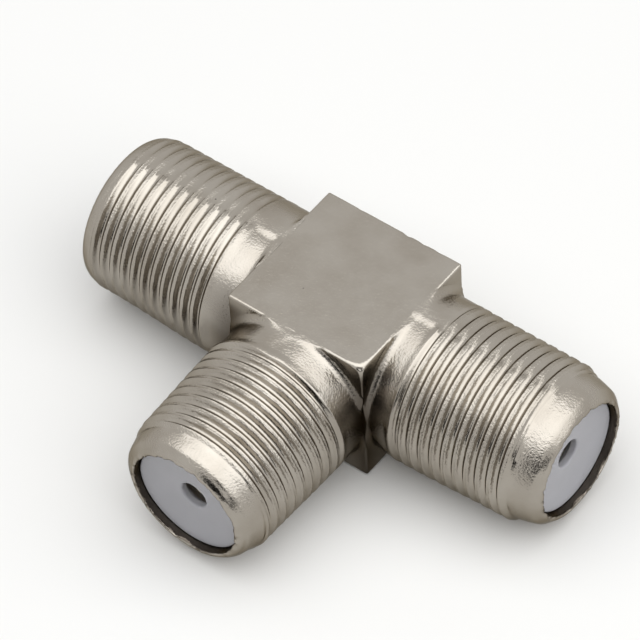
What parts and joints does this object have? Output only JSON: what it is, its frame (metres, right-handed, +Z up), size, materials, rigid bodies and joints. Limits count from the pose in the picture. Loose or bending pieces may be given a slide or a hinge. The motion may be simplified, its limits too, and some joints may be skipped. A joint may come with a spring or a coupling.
{
  "type": "coaxial tee splitter",
  "caption": "Plated metal tee for coaxial cable with threaded screw-on ports, domed noses and dished white insulators, each with a round hole for the centre conductor.",
  "frame": {"origin": "centre of the block's flat underside, straight below the crossing of the port axes; the thread crests reach 0.1 mm lower", "axes": "+X along the run towards the right port, -Y along the branch port, +Z up out of the block's top face"},
  "size_m": [0.0316, 0.0197, 0.0095],
  "materials": {
    "nickel_plating": "satin nickel plating on a casting, fine grain",
    "white_plastic": "moulded white plastic, slightly glossy",
    "contact_metal": "plain turned metal, hidden"
  },
  "bodies": {
    "root": {"body": "nickel_plating", "run_right_insulator": "white_plastic", "run_left_insulator": "white_plastic", "branch_insulator": "white_plastic", "run_contact": "contact_metal", "branch_contact": "contact_metal"}
  },
  "joints": []
}
